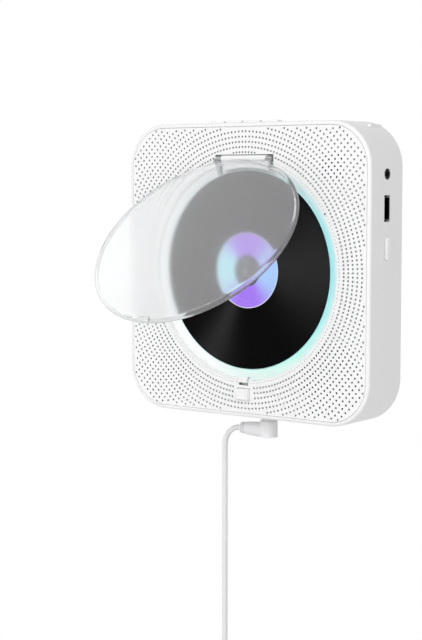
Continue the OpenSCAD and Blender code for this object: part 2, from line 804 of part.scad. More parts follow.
module ir_receiver() color(black) front() {
  back = panel_z - 1.2;
  box(ir_c - 3, ir_c + 3, ir_c - 3.5, ir_c + 3.5, back - 4, back);
  box(ir_c - 5, ir_c + 5, ir_c - 4.5, ir_c + 4.5, back - 5.2, back - 4);
}

// Speakers
module at_speakers() {
  for (s = [-1, 1]) translate([s * speaker_x, -speaker_y, 0]) children();
}

module speaker_frames() color(inside_grey) front() {
  top = panel_z - speaker_flange_t;
  slab(top, speaker_flange_t) difference() {
    intersection() {
      for (s = [-1, 1]) translate([s * speaker_x, -speaker_y]) circle(speaker_flange_r);
      rounded(panel_w, panel_w, panel_r);
    }
    circle(flange_r + 0.4);
    for (s = [-1, 1]) translate([s * speaker_x, -speaker_y]) circle(basket_r - 1.2);
  }
  at_speakers() difference() {
    spin() polygon([[basket_r - 1.2, top + 0.1], [basket_r, top + 0.1], [basket_r, top - 3],
      [11.2, basket_back_z], [4.4, basket_back_z], [4.4, basket_back_z + 1.2], [10.8, basket_back_z + 1.2],
      [basket_r - 1.2, top - 2.6]]);
    for (a = [0:90:270]) rotate(a + 45) box(12.6, 16, -4, 4, basket_back_z + 2, top - 3);
  }
}

module speaker_cones() color(black) front() at_speakers() {
  top = panel_z - speaker_flange_t;
  spin() polygon([[basket_r - 1.4, top - 1], [basket_r - 1.4, top - 0.4], [basket_r - 3, top + 0.2],
    [basket_r - 4.6, top - 0.4], [5, top - 5.4], [3, top - 5], [0, top - 4.2], [0, top - 4.8],
    [3, top - 5.6], [3, basket_back_z - 2], [3.5, basket_back_z - 2], [3.5, top - 6.2],
    [5.2, top - 6], [basket_r - 4.4, top - 1], [basket_r - 3, top - 0.4], [basket_r - 2, top - 1]]);
}

module speaker_magnets() color(metal) front() at_speakers() {
  spin() polygon([[0, basket_back_z - 8], [magnet_r - 1, basket_back_z - 8], [magnet_r - 1, basket_back_z - 7],
    [magnet_r, basket_back_z - 7], [magnet_r, basket_back_z - 1.5], [10, basket_back_z - 1.5],
    [10, basket_back_z], [4, basket_back_z], [4, basket_back_z - 3], [2.5, basket_back_z - 3],
    [2.5, basket_back_z], [0, basket_back_z]]);
}

// Disc drive
module drive_deck() color(metal) front() difference() {
  union() {
    slab(deck_z, deck_t) {
      area(deck_left, deck_right, -deck_half, deck_half);
      translate(sled_motor_at) circle(10);
    }
    for (x = [deck_left + 0.5, rod_right - 2], s = [-1, 1])
      box(x, x + 3, s * rod_y - 3, s * rod_y + 3, rod_z - 2.4, deck_z + 0.1);
    rod([gear_x, gear_y], deck_top - 0.1, 0.3, 2.4);
    rod([gear_x, gear_y], deck_top, floor_back - 0.3 - deck_top, stud_r);
  }
  slab(deck_z - 1, deck_t + 2) area(window_left, window_right, -window_half, window_half);
  for (p = damper_points) rod(p, deck_z - 1, deck_t + 2, 3);
  for (s = [-1, 1]) rod_x(rod_left, s * rod_y, rod_z, rod_right - rod_left, rod_r);
  rod([0, 0], deck_z - 1, deck_t + 2, 3.1);
  rod(sled_motor_at, deck_z - 1, deck_t + 2, 2.4);
}

module guide_rods() color(metal) front()
  for (s = [-1, 1]) rod_x(rod_left, s * rod_y, rod_z, rod_right - rod_left, rod_r);

module deck_dampers() color(black) front() for (p = damper_points) difference() {
  union() {
    rod(p, damper_z, deck_z - damper_z, damper_r);
    rod(p, deck_z - 0.1, deck_t + 0.2, damper_waist_r);
    rod(p, deck_top, damper_z + damper_h - deck_top, damper_r);
  }
  rod(p, damper_z - 1, damper_h + 2, damper_post_r + 0.05);
}

module damper_screws() color(metal) front()
  for (p = damper_points) screw(p, damper_z - 1.2, 4.6, small_screw_r, 3.2, 1.2);

module spindle_motor() color(metal) front() difference() {
  union() {
    rod([0, 0], deck_z - motor_h, motor_h, motor_r);
    rod([0, 0], deck_z - 0.1, 0.9, 3);
  }
  rod([0, 0], deck_z - motor_h + 0.8, motor_h + 2, shaft_r + 0.05);
}

module spindle_shaft() color(metal) front()
  rod([0, 0], deck_z - motor_h + 1, disc_z + 2.4 - deck_z + motor_h, shaft_r);

module turntable() color(inside_grey) front() difference() {
  spin() polygon([[shaft_r, floor_back], [8, floor_back], [turntable_r, floor_z - 0.6],
    [turntable_r, disc_z - 0.05], [hub_r, disc_z - 0.05], [hub_r, disc_z + 2.6], [hub_r - 1.2, disc_z + 3.5],
    [shaft_r, disc_z + 3.5]]);
  for (a = [90:120:330]) rotate(a)
    rod_x(hub_r - 2 * hub_ball_r, 0, hub_ball_z, 2 * hub_ball_r + 1, hub_ball_r + 0.08);
}

module hub_balls() color(metal) front() for (a = [90:120:330])
  rotate(a) translate([hub_r + 0.1 - hub_ball_r, 0, hub_ball_z]) sphere(hub_ball_r);

module disc() color([0.8, 0.8, 0.88]) front() slab(disc_z, disc_t) difference() {
  circle(disc_r);
  circle(disc_hole_r);
}

module laser_sled() color(inside_grey) front() difference() {
  union() {
    box(-lens_park - sled_w / 2, -lens_park + sled_w / 2, -sled_half, sled_half, deck_z - 6.4, sled_top);
    for (s = [-1, 1]) {
      rod_x(-lens_park - 6, s * rod_y, rod_z, 12, 3);
      box(-lens_park - 6, -lens_park + 6, min(s * 12, s * 16), max(s * 12, s * 16), rod_z - 2.2, rod_z + 2);
    }
  }
  for (s = [-1, 1]) rod_x(-lens_park - 7, s * rod_y, rod_z, 14, rod_r + run_gap);
  rod([-lens_park, 0], deck_z - 4, 12, 3.4);
}

module sled_rack() color(white) front() slab(rack_z, rack_t) {
  back = rack_line + rack_m;
  area(-lens_park - 6.4, gear_x + sled_travel + 2, back, back + 2.6);
  area(-lens_park - 6, -lens_park + 6, back + 1, -sled_half);
  for (k = [-2:18]) let (x = gear_x + (k + 0.5) * rack_pitch)
    polygon([[x - 0.36 * rack_pitch * 0.9, back + 0.1], [x - 0.36 * rack_pitch * 0.9, back],
      [x - 0.3, rack_line - 0.8 * rack_m], [x + 0.3, rack_line - 0.8 * rack_m],
      [x + 0.36 * rack_pitch * 0.9, back], [x + 0.36 * rack_pitch * 0.9, back + 0.1]]);
}

module lens_holder() color(black) front() {
  difference() {
    slab(lens_z, 2.2) translate([-lens_park, 0]) square(2 * lens_half, center = true);
    rod([-lens_park, 0], lens_z - 1, 5, 2.4);
  }
  rod([-lens_park, 0], lens_z + 0.4, 1.4, 2.4);
}

module drive_gear() color(white) front() translate([gear_x, gear_y, 0]) difference() {
  union() {
    slab(rack_z, wheel_z - rack_z + 0.1) rotate(90) polygon(gear_points(rack_m, rack_teeth, 0.38));
    slab(wheel_z, wheel_t) rotate(mesh_angle) polygon(gear_points(gear_m, wheel_teeth, 0.38));
  }
  rod([0, 0], rack_z - 1, 5, stud_r + run_gap);
}

module motor_pinion() color(metal) front() translate(sled_motor_at) {
  slab(wheel_z, wheel_t) rotate(mesh_angle + 180 + 180 / pinion_teeth)
    polygon(gear_points(gear_m, pinion_teeth, 0.38));
  rod([0, 0], deck_z - 4, wheel_z - deck_z + 4, 0.8);
}

module sled_motor() color(metal) front() translate(sled_motor_at) difference() {
  union() {
    rod([0, 0], deck_z - sled_motor_h, sled_motor_h, sled_motor_r);
    rod([0, 0], deck_z - 0.1, 1, 2.2);
  }
  rod([0, 0], deck_z - 5, 9, 0.85);
}

// Boards
module main_board() color(board_green) front() slab(main_board_z, board_t) difference() {
  union() {
    area(inlet_x - 22.2, inlet_x + 17.8, -half_in + 0.6, board_low + 2);
    area(board_left, board_right, board_low, board_high);
  }
  for (p = board_posts) translate(p) circle(small_screw_r + 0.2);
}

module board_parts() color(black) front() {
  translate([board_left, board_low, main_board_z + board_t]) {
    box(28, 46, 18, 36, 0, 1.8);
    box(56, 70, 56, 70, 0, 1.6);
    box(8, 20, 68, 80, 0, 1.6);
    box(6, 16, 16, 26, 0, 2.4);
    for (p = [[60, 16], [72, 18], [72, 30]]) rod(p, 0, 9, 4);
    for (i = [0:4]) translate([58 + 6 * i, 80, 0]) cube([3, 2, 1]);
  }
}

module board_screws() color(metal) front() {
  for (p = board_posts) translate([p[0], p[1], main_board_z + board_t + 1.2]) mirror([0, 0, 1])
    screw([0, 0], 0, 5.6, small_screw_r, small_head_r, 1.2);
  for (p = side_posts) translate([p[0], p[1], side_board_top + 1.2]) mirror([0, 0, 1])
    screw([0, 0], 0, 8, small_screw_r, small_head_r, 1.2);
  for (s = [-1, 1]) {
    rod_y(key_x + s * key_post_x, key_board_y - key_board_t - 1.2, side_z, 1.2, small_head_r);
    rod_y(key_x + s * key_post_x, key_board_y - key_board_t, side_z, 5, small_screw_r);
  }
  for (p = latch_posts) screw(p, latch_cover_z - 1.2, 5.4, small_screw_r, small_head_r, 1.2);
}

module side_board() color(board_green) front() slab(side_board_z, board_t) difference() {
  area(side_board_left, side_board_left + side_board_w, switch_y - 13, jack_y + 8);
  for (p = side_posts) translate(p) circle(small_screw_r + 0.2);
}

// Sockets and switches
module headphone_socket() color(black) front() difference() {
  union() {
    box(half_in - jack_deep - 0.3, half_in - 0.3, jack_y - 3.6, jack_y + 3.6, side_board_top, side_z + 3.4);
    rod_x(half_in - 0.4, jack_y, side_z, wall_t + 0.3, jack_barrel_r);
  }
  rod_x(body_w / 2 - 0.1 - jack_deep, jack_y, side_z, jack_deep + 1, jack_bore_r);
}

module usb_socket() color(metal) front() {
  z0 = side_z - usb_h / 2;
  back = body_w / 2 - 15;
  difference() {
    box(back, body_w / 2 - 0.2, usb_y - usb_w / 2, usb_y + usb_w / 2, z0, z0 + usb_h);
    box(back + 2, body_w / 2 + 1, usb_y - usb_w / 2 + usb_wall, usb_y + usb_w / 2 - usb_wall,
      z0 + usb_wall, z0 + usb_h - usb_wall);
  }
  box(back + 1.5, body_w / 2 - 1.6, usb_y - usb_w / 2 + 1, usb_y + usb_w / 2 - 1,
    z0 + usb_h - usb_wall - 1.5, z0 + usb_h - usb_wall - 0.3);
  for (y = [-4.5, 4.5]) box(back + 2, back + 6, usb_y + y - 0.8, usb_y + y + 0.8, side_board_top, z0 + 0.1);
}

module switch_body() color(black) front() difference() {
  box(half_in - 8.6, half_in - 0.5, switch_y - 9, switch_y + 6, side_board_top, knob_z + stem_t / 2 + 1.5);
  box(half_in - 3.4, half_in + 1, switch_y - stem_h / 2 - switch_travel - gap, switch_y + stem_h / 2 + gap,
    knob_z - stem_t / 2 - gap, knob_z + stem_t / 2 + gap);
}

module power_knob() color(white) front() {
  box(body_w / 2 + 0.05, body_w / 2 + 2.6, switch_y - knob_h / 2, switch_y + knob_h / 2,
    knob_z - 2.1, knob_z + 2.1);
  box(half_in - 3.2, body_w / 2 + 0.1, switch_y - stem_h / 2, switch_y + stem_h / 2,
    knob_z - stem_t / 2, knob_z + stem_t / 2);
}

module key_board() color(board_green) front() translate([0, key_board_y - key_board_t, side_z]) difference() {
  box(key_x - key_post_x - 3.6, key_x + key_post_x + 3.6, 0, key_board_t, -5.5, 5.5);
  for (s = [-1, 1]) rod_y(key_x + s * key_post_x, -1, 0, key_board_t + 2, small_screw_r + 0.2);
}

module key_switches() color(black) front() for (i = [0:3])
  translate([key_x + (i - 1.5) * key_pitch, 0, side_z]) {
    box(-3, 3, key_board_y, key_switch_y - 0.9, -3, 3);
    rod_y(0, key_switch_y - 1, 0, 1, 1.6);
  }

module top_key(i) {
  color(white) front() translate([key_x + (i - 1.5) * key_pitch, 0, side_z]) {
    box(-key_w / 2, key_w / 2, key_flange_y + 0.5, body_w / 2 + key_proud, -key_d / 2, key_d / 2);
    box(-key_w / 2 - 0.7, key_w / 2 + 0.7, key_flange_y, key_flange_y + key_flange_t,
      -key_d / 2 - 1, key_d / 2 + 1);
  }
}

module key_1() { top_key(0); }
module key_2() { top_key(1); }
module key_3() { top_key(2); }
module key_4() { top_key(3); }

module power_inlet() color(black) front() {
  top = -half_in + 0.2;
  difference() {
    box(inlet_x - 4.5, inlet_x + 4.5, top, top + 14, main_board_z + board_t, side_z + 4.5);
    rod_y(inlet_x, top - 1, side_z, inlet_deep + 1, inlet_bore_r);
  }
  rod_y(inlet_x, top + 1, side_z, inlet_deep - 0.5, 1);
}

// Power plug, its cord, the stored coil and the plug on the far end
module power_plug() color(cord_white) front() {
  difference() {
    rod_y(inlet_x, plug_top, side_z, -half_in + plug_tip_long - plug_top, plug_tip_r);
    rod_y(inlet_x, -half_in - 1, side_z, 20, 1.3);
  }
  rod_y(inlet_x, plug_top - 0.1, side_z, -body_w / 2 - 0.05 - plug_top + 0.1, plug_collar_r);
  rod_y(inlet_x, plug_top - plug_long, side_z, plug_long, plug_r);
  translate([inlet_x, arm_y, side_z]) rotate([0, -90, 0]) cylinder(h = inlet_x - arm_left, r1 = 5, r2 = 4.1);
  rod_x(arm_left - relief_w, arm_y, side_z, relief_w + 0.1, 2.6);
  for (i = [0:2]) rod_x(arm_left - relief_w + 0.4 + 1.6 * i, arm_y, side_z, 1.1, 3.5 + 0.15 * i);
}

function unit(v) = v / norm(v);
function heading(p, i) = unit(p[min(i + 1, len(p) - 1)] - p[max(i - 1, 0)]);
function hoop(p, i, r, sides) = let (t = heading(p, i), side = unit(cross(t, [0, 0, 1])), up = cross(side, t))
  [for (k = [0:sides - 1]) p[i] + r * (cos(k * 360 / sides) * side + sin(k * 360 / sides) * up)];

module tube(p, r, sides) {
  n = len(p);
  polyhedron(
    points = [for (i = [0:n - 1]) each hoop(p, i, r, sides)],
    faces = [
      [for (k = [0:sides - 1]) k],
      [for (k = [sides - 1:-1:0]) (n - 1) * sides + k],
      for (i = [0:n - 2], k = [0:sides - 1]) let (a = i * sides + k, b = i * sides + (k + 1) % sides)
        each [[a, a + sides, b], [b, a + sides, b + sides]]]);
}

// The coil spirals in on the lower layer, climbs while it turns back, and spirals out on the upper one
function coil_reach(t) = coil_wide - coil_step * min(t, coil_turns - t);
function coil_level(t) = side_z + layer_gap * min(1, max(0, (t - coil_turns / 2 + 0.25) / 0.5));
coil_points = [
  [coil_at[0] - coil_wide, coil_at[1] + cord_d, side_z],
  for (i = [0:coil_steps]) let (t = i * coil_turns / coil_steps)
    [coil_at[0] - coil_reach(t) * cos(360 * t), coil_at[1] - coil_reach(t) * sin(360 * t), coil_level(t)],
  [coil_at[0] - coil_wide, coil_end, side_z + layer_gap]];
coil_gap = min([for (i = [0:len(coil_points) - 1], j = [i + 12:1:len(coil_points) - 1])
  norm(coil_points[i] - coil_points[j])]) - cord_d;
echo(coil_gap = coil_gap);

module power_cord() color(cord_white) front() {
  tube([for (p = cord_points) [p[0], p[1], side_z]], cord_d / 2, 8);
  tube([for (p = tail_points) [p[0], p[1], side_z + layer_gap]], cord_d / 2, 8);
}

module cord_coil() color(cord_white) front() tube(coil_points, cord_d / 2, 6);

module cord_tie() color(black) front() {
  near = coil_at[0] + coil_wide - coil_step * (coil_turns - 1) / 2 - cord_d / 2 - 0.5;
  far = coil_at[0] + coil_wide - coil_step / 2 + cord_d / 2 + 0.5;
  low = side_z - cord_d / 2 - 0.4;
  high = side_z + layer_gap + cord_d / 2 + 0.4;
  difference() {
    box(near - 1, far + 1, coil_at[1] - 2, coil_at[1] + 2, low - 1, high + 1);
    box(near, far, coil_at[1] - 3, coil_at[1] + 3, low, high);
  }
}

module usb_plug() color(cord_white) front() translate([tail_points[2][0], tail_points[2][1], side_z + layer_gap]) {
  rotate([90, 0, 0]) cylinder(h = 9.2, r1 = 2.3, r2 = 3.4);
  translate([0, -9, 0]) rotate([90, 0, 0]) linear_extrude(grip_long) rounded(grip_t, grip_w, 2);
  box(-2.25, 2.25, -9 - grip_long - shell_long, -8.9 - grip_long, -6, 6);
}

wall_bracket();
side_frame();
front_panel();
grille_skin();
light_ring();
led_board();
disc_tray();
tray_screws();
panel_screws();
rear_cover();
rear_screws();
wall_pads();
hinge_block();
hinge_pin();
latch_cover();
sensor_eye();
ir_window();
ir_receiver();
speaker_frames();
speaker_cones();
speaker_magnets();
drive_deck();
deck_dampers();
damper_screws();
spindle_motor();
guide_rods();
sled_motor();
main_board();
board_parts();
board_screws();
side_board();
headphone_socket();
usb_socket();
switch_body();
key_board();
key_switches();
power_inlet();
release_spring();
lid();
release_button();
latch_slider();
turntable();
spindle_shaft();
hub_balls();
disc();
laser_sled();
sled_rack();
lens_holder();
drive_gear();
motor_pinion();
power_knob();
key_1();
key_2();
key_3();
key_4();
power_plug();
power_cord();
cord_coil();
cord_tie();
usb_plug();
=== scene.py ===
# %% [markdown]
# # A wall mounted disc player
# The player hangs on a wall with its clear lid open over a disc. The solids of the frame carry all
# working parts. This script gives them their finish, and models again the pieces that need more
# than a solid: the perforated skin, the disc and the cord. The moulded pieces that show most get
# slightly broken edges.

# %% Load the frame
import bpy
import bmesh
import json
from math import atan2, cos, sin, pi, radians, hypot
from mathutils import Matrix, Vector


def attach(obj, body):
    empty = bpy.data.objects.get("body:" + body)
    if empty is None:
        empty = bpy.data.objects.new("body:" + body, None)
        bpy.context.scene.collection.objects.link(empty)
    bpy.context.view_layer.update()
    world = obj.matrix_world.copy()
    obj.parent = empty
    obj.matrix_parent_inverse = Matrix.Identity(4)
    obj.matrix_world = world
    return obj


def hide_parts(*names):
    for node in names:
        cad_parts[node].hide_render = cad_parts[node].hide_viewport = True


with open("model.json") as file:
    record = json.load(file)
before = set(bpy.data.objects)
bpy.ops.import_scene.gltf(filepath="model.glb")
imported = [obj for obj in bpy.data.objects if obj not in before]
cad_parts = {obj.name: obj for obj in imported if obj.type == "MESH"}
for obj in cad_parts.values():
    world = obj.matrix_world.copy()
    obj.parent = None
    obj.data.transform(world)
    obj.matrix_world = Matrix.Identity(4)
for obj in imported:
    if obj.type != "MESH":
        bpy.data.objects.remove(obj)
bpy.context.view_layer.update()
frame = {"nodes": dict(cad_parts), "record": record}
nodes = frame["nodes"]
bodies = frame["record"]["behaviour"]["bodies"]
body_of = {node: body for body, members in bodies.items() for node in members}
slot_of = {part["node"]: part["material_slot"] for part in frame["record"]["subparts"]}

# %% [markdown]
# ## The camera
# The view was worked out from the disc, the square front and the rings of holes: the camera stands
# 37 degrees to the right and 5 degrees up, a little under a metre away. The frame's origin is on the
# wall, so the front face lies at y = -36 mm.

# %% Camera
MM = 0.001
FRONT_DEPTH = 36 * MM
CAMERA_AT = Vector((0.5645, -0.7769 - FRONT_DEPTH, 0.0554))
YAW = radians(37.18)
PITCH = radians(5.07)
FOCAL_PIXELS = 1594.0
FRAME_HEIGHT = 640
camera_data = bpy.data.cameras.new("view")
camera_data.sensor_width = 36
camera_data.lens = FOCAL_PIXELS * camera_data.sensor_width / FRAME_HEIGHT
camera_data.clip_start = 0.05
camera = bpy.data.objects.new("view", camera_data)
camera.location = CAMERA_AT
camera.rotation_euler = (pi / 2 - PITCH, 0, YAW)
bpy.context.scene.collection.objects.link(camera)
bpy.context.scene.camera = camera
bpy.context.scene.view_settings.view_transform = "Standard"

# %% [markdown]
# ## Shared helpers
# Pieces are drawn as seen from the front, in millimetres: x right, y up and z out of the wall. PLACE
# turns that drawing into the frame. A finished piece keeps its place in its mesh, rides on its body
# and takes its finish from the slot of the node that it stands for.

# %% Helpers for finished pieces
PLACE = Matrix.Rotation(pi / 2, 4, "X") @ Matrix.Scale(MM, 4)
SMOOTH_ANGLE = radians(32)
FLAT_ANGLE = radians(0.5)
EDGE_ANGLE = radians(40)
DRAWN_MERGE = 0.0005
SOLID_MERGE = 0.002 * MM
materials = {}


def add_piece(bm, name, node):
    """Makes a bmesh into a smoothly shaded piece that stands for a node and rides on its body."""
    mesh = bpy.data.meshes.new(name)
    bm.to_mesh(mesh)
    bm.free()
    mesh.shade_smooth()
    mesh.set_sharp_from_angle(angle=SMOOTH_ANGLE)
    mesh.materials.append(materials[slot_of[node]])
    piece = bpy.data.objects.new(name, mesh)
    bpy.context.scene.collection.objects.link(piece)
    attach(piece, body_of[node])
    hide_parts(node)
    print(name, "faces:", len(mesh.polygons))
    return piece


def drawn_piece(bm, name, node):
    """Closes a bmesh that was drawn from the front and puts it in its place."""
    bmesh.ops.remove_doubles(bm, verts=bm.verts, dist=DRAWN_MERGE)
    bmesh.ops.recalc_face_normals(bm, faces=bm.faces)
    bm.transform(PLACE)
    return add_piece(bm, name, node)


def merged_copy(node, bevel, segments=3):
    """A smooth copy of a node: its loose triangles are merged and its sharp edges broken."""
    bm = bmesh.new()
    bm.from_mesh(nodes[node].data)
    bmesh.ops.remove_doubles(bm, verts=bm.verts, dist=SOLID_MERGE)
    bmesh.ops.dissolve_limit(bm, angle_limit=FLAT_ANGLE, verts=bm.verts, edges=bm.edges)
    piece = add_piece(bm, node + "_dressed", node)
    soften = piece.modifiers.new("broken_edges", "BEVEL")
    soften.width = bevel * MM
    soften.segments = segments
    soften.limit_method = "ANGLE"
    soften.angle_limit = EDGE_ANGLE
    soften.use_clamp_overlap = True
    return piece


# %% [markdown]
# ## Finishes
# A material's patterns are sums of simple nodes. These helpers add one node each, and take a number
# or the output of another node alike.

# %% Node helpers
def put(tree, value, socket):
    """Sets a socket to a constant, or links another node's output to it."""
    if isinstance(value, (int, float, tuple)):
        socket.default_value = value
    else:
        tree.links.new(value, socket)


def maths(tree, operation, *values, clamp=False):
    node = tree.nodes.new("ShaderNodeMath")
    node.operation = operation
    node.use_clamp = clamp
    for value, socket in zip(values, node.inputs):
        put(tree, value, socket)
    return node.outputs[0]


def add(tree, a, b):
    return maths(tree, "ADD", a, b)


def minus(tree, a, b, clamp=False):
    return maths(tree, "SUBTRACT", a, b, clamp=clamp)


def times(tree, a, b, clamp=False):
    return maths(tree, "MULTIPLY", a, b, clamp=clamp)


def hypotenuse(tree, a, b):
    return maths(tree, "SQRT", add(tree, times(tree, a, a), times(tree, b, b)))


def blend_colours(tree, factor, a, b):
    node = tree.nodes.new("ShaderNodeMix")
    node.data_type = "RGBA"
    for index, value in ((0, factor), (6, a), (7, b)):
        put(tree, value, node.inputs[index])
    return node.outputs[2]


def noise(tree, place, scale):
    node = tree.nodes.new("ShaderNodeTexNoise")
    node.inputs["Detail"].default_value = 3.0
    put(tree, place, node.inputs["Vector"])
    put(tree, scale, node.inputs["Scale"])
    return node.outputs["Fac"]


def object_place(tree):
    return tree.nodes.new("ShaderNodeTexCoord").outputs["Object"]


# %% [markdown]
# Moulded plastic is never quite even: it has a fine grain from the mould and faint cloudy changes of
# tone. One node group makes both, and each material gives it its own colour, grain size and depth.

# %% The moulded grain group
CLOUD_SIZE = 26.0
FINE_TONE = 0.02
ROUGHNESS_SWING = 0.16


def new_group(name, inputs, outputs):
    group = bpy.data.node_groups.new(name, "ShaderNodeTree")
    for kind, label, value in inputs:
        socket = group.interface.new_socket(label, in_out="INPUT", socket_type="NodeSocket" + kind)
        socket.default_value = value
    for kind, label in outputs:
        group.interface.new_socket(label, in_out="OUTPUT", socket_type="NodeSocket" + kind)
    return group


grain = new_group("moulded_grain",
    (("Color", "Colour", (1, 1, 1, 1)), ("Float", "Roughness", 0.5),
     ("Float", "Grain size", 1500.0), ("Float", "Grain depth", 0.3), ("Float", "Cloud", 0.04)),
    (("Color", "Colour"), ("Float", "Roughness"), ("Float", "Height")))
inside = grain.nodes.new("NodeGroupInput")
result = grain.nodes.new("NodeGroupOutput")
where = object_place(grain)
fine = noise(grain, where, inside.outputs["Grain size"])
cloud = noise(grain, where, CLOUD_SIZE)
tone = times(grain, minus(grain, cloud, 0.5), inside.outputs["Cloud"])
tone = add(grain, add(grain, tone, 1.0), times(grain, fine, FINE_TONE))
brightness = grain.nodes.new("ShaderNodeVectorMath")
brightness.operation = "SCALE"
grain.links.new(inside.outputs["Colour"], brightness.inputs[0])
grain.links.new(tone, brightness.inputs["Scale"])
grain.links.new(brightness.outputs[0], result.inputs["Colour"])
swing = times(grain, minus(grain, fine, 0.5), ROUGHNESS_SWING)
grain.links.new(add(grain, inside.outputs["Roughness"], swing), result.inputs["Roughness"])
height = times(grain, fine, inside.outputs["Grain depth"])
grain.links.new(height, result.inputs["Height"])

# %% [markdown]
# Every material starts from a Principled shader and the grain group. Plain plastics and metals need
# nothing else, so a single function makes them from a colour and a few numbers.

# %% Material maker
BUMP_STRENGTH = 0.6
GRAIN_BUMP = 0.03 * MM


def shader_of(name):
    material = bpy.data.materials.new(name)
    material.use_nodes = True
    tree = material.node_tree
    return material, tree, tree.nodes["Principled BSDF"]


def add_bump(tree, shader, height, distance):
    bump = tree.nodes.new("ShaderNodeBump")
    bump.inputs["Distance"].default_value = distance
    bump.inputs["Strength"].default_value = BUMP_STRENGTH
    tree.links.new(height, bump.inputs["Height"])
    tree.links.new(bump.outputs["Normal"], shader.inputs["Normal"])


def use_grain(tree, shader, colour, roughness, size, depth, clouds):
    """Adds the grain group and gives its colour and roughness to the shader."""
    node = tree.nodes.new("ShaderNodeGroup")
    node.node_tree = grain
    put(tree, colour, node.inputs["Colour"])
    node.inputs["Roughness"].default_value = roughness
    node.inputs["Grain size"].default_value = size
    node.inputs["Grain depth"].default_value = depth
    node.inputs["Cloud"].default_value = clouds
    tree.links.new(node.outputs["Colour"], shader.inputs["Base Color"])
    tree.links.new(node.outputs["Roughness"], shader.inputs["Roughness"])
    return node


def moulded(name, colour, roughness, size, depth, clouds, **constants):
    materials[name], tree, shader = shader_of(name)
    node = use_grain(tree, shader, (*colour, 1), roughness, size, depth, clouds)
    add_bump(tree, shader, node.outputs["Height"], GRAIN_BUMP)
    for label, value in constants.items():
        shader.inputs[label.replace("_", " ")].default_value = value


# %% [markdown]
# The numbers after each colour are the roughness, the grain's fineness and depth, and the clouds. The
# panel behind the skin is white, but its colour is painted darker as painted shade inside the holes,
# so the holes over it read as grey.

# %% Moulded and metal finishes
moulded("case_white", (0.86, 0.86, 0.862), 0.42, 2200, 0.5, 0.015)
# panel_white: a white panel painted darker, as painted shade seen through the holes
moulded("panel_white", (0.37, 0.37, 0.375), 0.6, 1500, 0.4, 0.03)
moulded("grille", (0.87, 0.87, 0.872), 0.48, 2600, 0.5, 0.015)
moulded("button_white", (0.88, 0.88, 0.882), 0.32, 2400, 0.3, 0.015)
moulded("tray_white", (0.84, 0.86, 0.86), 0.5, 1800, 0.4, 0.03)
moulded("plug_white", (0.82, 0.82, 0.83), 0.4, 2000, 0.4, 0.03)
moulded("cord_white", (0.78, 0.78, 0.79), 0.5, 2400, 0.5, 0.04)
moulded("inner_plastic", (0.045, 0.048, 0.055), 0.5, 1500, 0.5, 0.1)
moulded("dark_plastic", (0.012, 0.012, 0.014), 0.45, 1500, 0.5, 0.1, Specular_IOR_Level=0.15)
moulded("paper_cone", (0.02, 0.02, 0.022), 0.8, 900, 1.0, 0.2)
moulded("rubber", (0.02, 0.02, 0.022), 0.75, 1200, 0.9, 0.15)
moulded("tie", (0.03, 0.03, 0.033), 0.6, 1600, 0.8, 0.15)
moulded("gear_white", (0.72, 0.70, 0.62), 0.42, 1400, 0.4, 0.05)
moulded("dark_lens", (0.008, 0.008, 0.01), 0.12, 1200, 0.1, 0.05)
moulded("magnet", (0.18, 0.18, 0.19), 0.45, 900, 0.6, 0.12, Metallic=0.7)
# socket_metal is light metal painted nearly black, as painted shade inside the socket opening
for metal_name, metal_colour, metal_rough in (
        ("steel", (0.56, 0.57, 0.58), 0.34), ("screw_steel", (0.42, 0.43, 0.45), 0.3),
        ("rod_chrome", (0.72, 0.73, 0.75), 0.14), ("socket_metal", (0.035, 0.035, 0.038), 0.35),
        ("spring_steel", (0.4, 0.41, 0.43), 0.3), ("pinion_brass", (0.62, 0.44, 0.16), 0.3)):
    moulded(metal_name, metal_colour, metal_rough, 1800, 0.3, 0.08, Metallic=1.0)
print("moulded and metal finishes:", len(materials))

# %% [markdown]
# A circuit board is green lacquer with small gold pads. A Voronoi pattern with square cells gives
# each cell one square pad in its middle.

# %% Circuit board
PADS_PER_METRE = 420
PAD_SIZE = 0.16
LACQUER = (0.01, 0.10, 0.045, 1)
PAD_GOLD = (0.5, 0.42, 0.2, 1)
materials["board"], tree, shader = shader_of("board")
pad_cells = tree.nodes.new("ShaderNodeTexVoronoi")
pad_cells.distance = "CHEBYCHEV"
pad_cells.inputs["Scale"].default_value = PADS_PER_METRE
tree.links.new(object_place(tree), pad_cells.inputs["Vector"])
pads = maths(tree, "LESS_THAN", pad_cells.outputs["Distance"], PAD_SIZE)
colour = blend_colours(tree, pads, LACQUER, PAD_GOLD)
node = use_grain(tree, shader, colour, 0.35, 1200, 0.3, 0.1)
add_bump(tree, shader, node.outputs["Height"], GRAIN_BUMP)

# %% [markdown]
# The lid's face is frosted clear plastic: what lies behind it looks milky and soft. Its milky white
# is partly the frost and partly a painted white sheen, and it is painted greyer towards the right as
# painted shade. Its rim is clear and a little grey, except at the hinge. Both are one moulding, so
# one material tells them apart by the distance from the lid's own middle. The lid stands open, so a
# Mapping node first turns it back to where it is shut. Faces seen edge-on are painted a darker grey,
# as painted shade for the dark edges of thick clear plastic.

# %% Clear lid
LID_OPEN = radians(46)
HINGE = Vector((0, 67.4, 35.3)) * MM
RIM_START, RIM_SOFT = 63.8 * MM, 0.6 * MM
HINGE_START = 55 * MM
SHADE_FROM, SHADE_WIDTH = -40 * MM, 100 * MM
